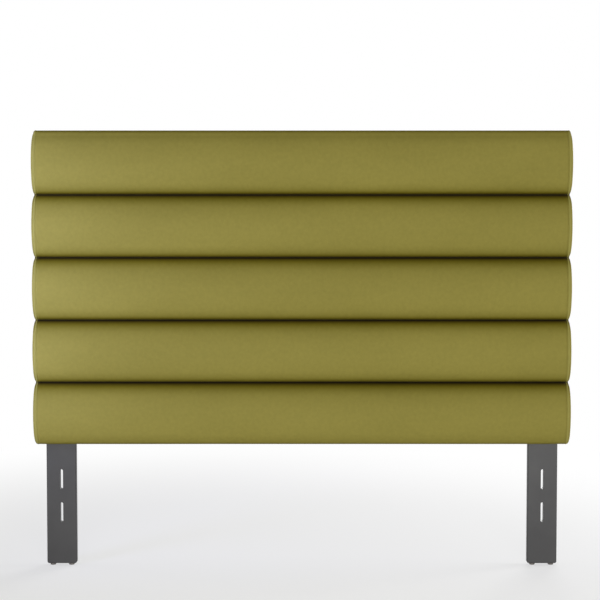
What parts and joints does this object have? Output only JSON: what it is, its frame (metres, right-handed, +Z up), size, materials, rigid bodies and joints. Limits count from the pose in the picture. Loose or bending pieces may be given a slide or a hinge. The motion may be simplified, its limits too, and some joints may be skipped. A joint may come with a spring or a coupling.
{
  "type": "upholstered headboard",
  "caption": "Queen size headboard in olive velvet with deep horizontal padded channels on a pine frame, carried by black slotted legs that set its height.",
  "frame": {"origin": "on the floor, midway between the two ends, and in depth midway between the crown of the channels and the heads of the leg bolts", "axes": "+X to the right seen from the front, +Y to the back (the wall), +Z up; the channels face -Y"},
  "size_m": [1.575, 0.1182, 1.295],
  "materials": {
    "velvet": "matte",
    "foam": "matte",
    "batting": "matte",
    "pine": "matte",
    "plywood": "matte",
    "black_wood": "satin",
    "dust_cloth": "matte",
    "zinc_steel": "satin",
    "glide_plastic": "satin"
  },
  "bodies": {
    "legs": {"left_leg": "black_wood", "left_leg_glides": "glide_plastic", "right_leg": "black_wood", "right_leg_glides": "glide_plastic"},
    "panel": {"bottom_rail": "pine", "centre_stile": "pine", "channel_batting_1": "batting", "channel_batting_2": "batting", "channel_batting_3": "batting", "channel_batting_4": "batting", "channel_batting_5": "batting", "channel_cover_1": "velvet", "channel_cover_2": "velvet", "channel_cover_3": "velvet", "channel_cover_4": "velvet", "channel_cover_5": "velvet", "channel_foam_1": "foam", "channel_foam_2": "foam", "channel_foam_3": "foam", "channel_foam_4": "foam", "channel_foam_5": "foam", "corner_blocks": "pine", "dust_cover": "dust_cloth", "face_board": "plywood", "flat_washers": "zinc_steel", "frame_screws": "zinc_steel", "left_leg_post": "pine", "left_side_cover": "velvet", "left_stile": "pine", "leg_bolts": "zinc_steel", "lock_washers": "zinc_steel", "right_leg_post": "pine", "right_side_cover": "velvet", "right_stile": "pine", "seam_rail_1": "pine", "seam_rail_2": "pine", "seam_rail_3": "pine", "seam_rail_4": "pine", "tee_nuts": "zinc_steel", "top_rail": "pine"}
  },
  "joints": [
    {"name": "panel_height", "type": "slide", "parent": "legs", "child": "panel", "axis": [0, 0, 1], "range_m": [-0.051, 0.051]}
  ]
}
